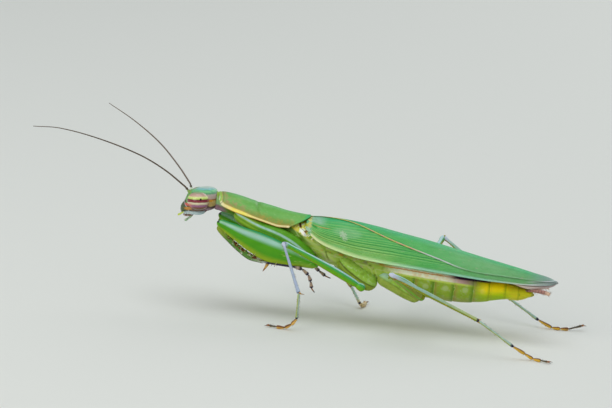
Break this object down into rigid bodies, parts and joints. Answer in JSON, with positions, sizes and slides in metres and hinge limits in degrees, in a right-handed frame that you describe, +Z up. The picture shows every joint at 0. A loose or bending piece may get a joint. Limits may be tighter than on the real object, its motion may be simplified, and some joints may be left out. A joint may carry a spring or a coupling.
{
  "type": "praying mantis",
  "caption": "Life-size still model of a small green mantis standing on its walking legs, forelegs folded, wings closed, long feelers raised.",
  "frame": {"origin": "on the floor under the middle of the whole figure's bounding box, feelers and feet included", "axes": "+X from head to wing tips, +Y to the mantis's right side, +Z up"},
  "size_m": [0.0372, 0.0164, 0.0117],
  "materials": {
    "green_skin": "satin green cuticle",
    "green_shell": "smooth satin green plate with a yellow rim",
    "wing": "leathery green forewing with fine lengthwise veins",
    "hindwing": "thin pinkish grey membrane",
    "eye": "glossy compound eye with level stripes",
    "feeler": "dark, finely ringed",
    "limb": "satin green limb with a bluish sheen",
    "shin": "satin bluish grey-green",
    "foot": "tan with dark joints",
    "abdomen": "soft yellow-green segments",
    "cercus": "pinkish brown, hairy"
  },
  "bodies": {
    "root": {"head": "green_skin", "neck": "green_skin", "prosternum": "green_skin", "thorax": "green_skin", "pronotum": "green_shell", "abdomen": "abdomen", "eye_left": "eye", "eye_right": "eye", "feeler_left": "feeler", "feeler_right": "feeler", "palp_left": "foot", "palp_right": "foot", "forewing_left": "wing", "forewing_right": "wing", "hindwing_left": "hindwing", "hindwing_right": "hindwing", "cercus_left": "cercus", "cercus_right": "cercus", "foreleg_left_coxa": "limb", "foreleg_left_femur": "limb", "foreleg_left_tibia": "limb", "foreleg_left_tarsus": "foot", "mid_leg_left_coxa": "limb", "mid_leg_left_femur": "limb", "mid_leg_left_tibia": "shin", "mid_leg_left_tarsus": "foot", "hind_leg_left_coxa": "limb", "hind_leg_left_femur": "limb", "hind_leg_left_tibia": "shin", "hind_leg_left_tarsus": "foot", "foreleg_right_coxa": "limb", "foreleg_right_femur": "limb", "foreleg_right_tibia": "limb", "foreleg_right_tarsus": "foot", "mid_leg_right_coxa": "limb", "mid_leg_right_femur": "limb", "mid_leg_right_tibia": "shin", "mid_leg_right_tarsus": "foot", "hind_leg_right_coxa": "limb", "hind_leg_right_femur": "limb", "hind_leg_right_tibia": "shin", "hind_leg_right_tarsus": "foot"}
  },
  "joints": []
}
